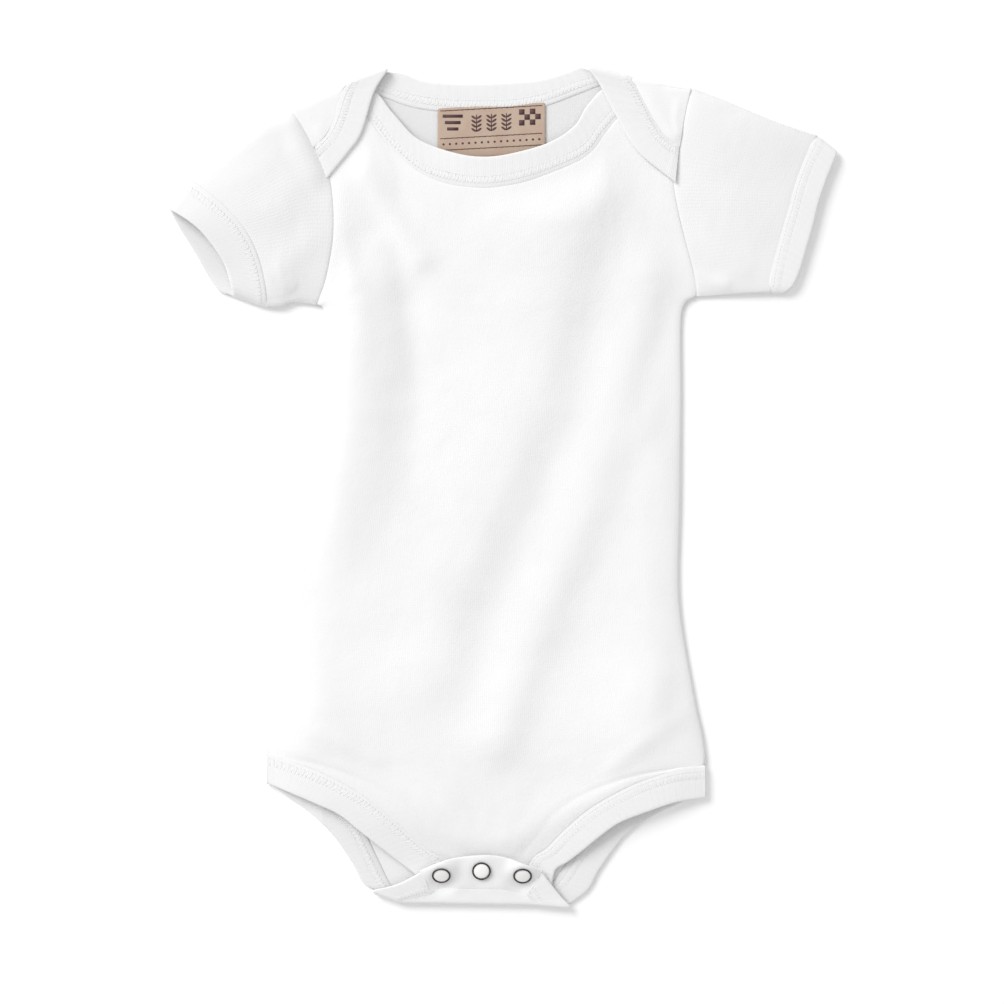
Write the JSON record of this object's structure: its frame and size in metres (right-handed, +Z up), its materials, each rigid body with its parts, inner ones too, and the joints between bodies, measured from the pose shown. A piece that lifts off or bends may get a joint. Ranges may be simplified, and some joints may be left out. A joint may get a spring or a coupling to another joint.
{
  "type": "baby onesie",
  "caption": "White short-sleeved baby bodysuit with envelope laps at the shoulders, rib bindings and cuffs and a snapped crotch tab, laid flat front up",
  "frame": {"origin": "on the surface that the garment lies on, under the middle of its outline", "axes": "+Y towards the neck, +X to the right of a viewer who looks down on the front, +Z up out of the front"},
  "size_m": [0.3356, 0.422, 0.0082],
  "materials": {
    "body_knit": "soft white cotton interlock knit, matte",
    "rib_knit": "white cotton rib knit, matte",
    "label_weave": "beige woven label with plain dark bars",
    "snap_metal": "dull prong ring of a snap"
  },
  "bodies": {
    "root": {"back_panel": "body_knit", "front_panel": "body_knit", "left_sleeve": "body_knit", "right_sleeve": "body_knit", "left_cuff": "rib_knit", "right_cuff": "rib_knit", "front_neck_binding": "rib_knit", "back_neck_binding": "rib_knit", "left_leg_binding": "rib_knit", "right_leg_binding": "rib_knit", "snap_band": "rib_knit", "neck_label": "label_weave", "snap_left": "snap_metal", "snap_middle": "snap_metal", "snap_right": "snap_metal"}
  },
  "joints": []
}
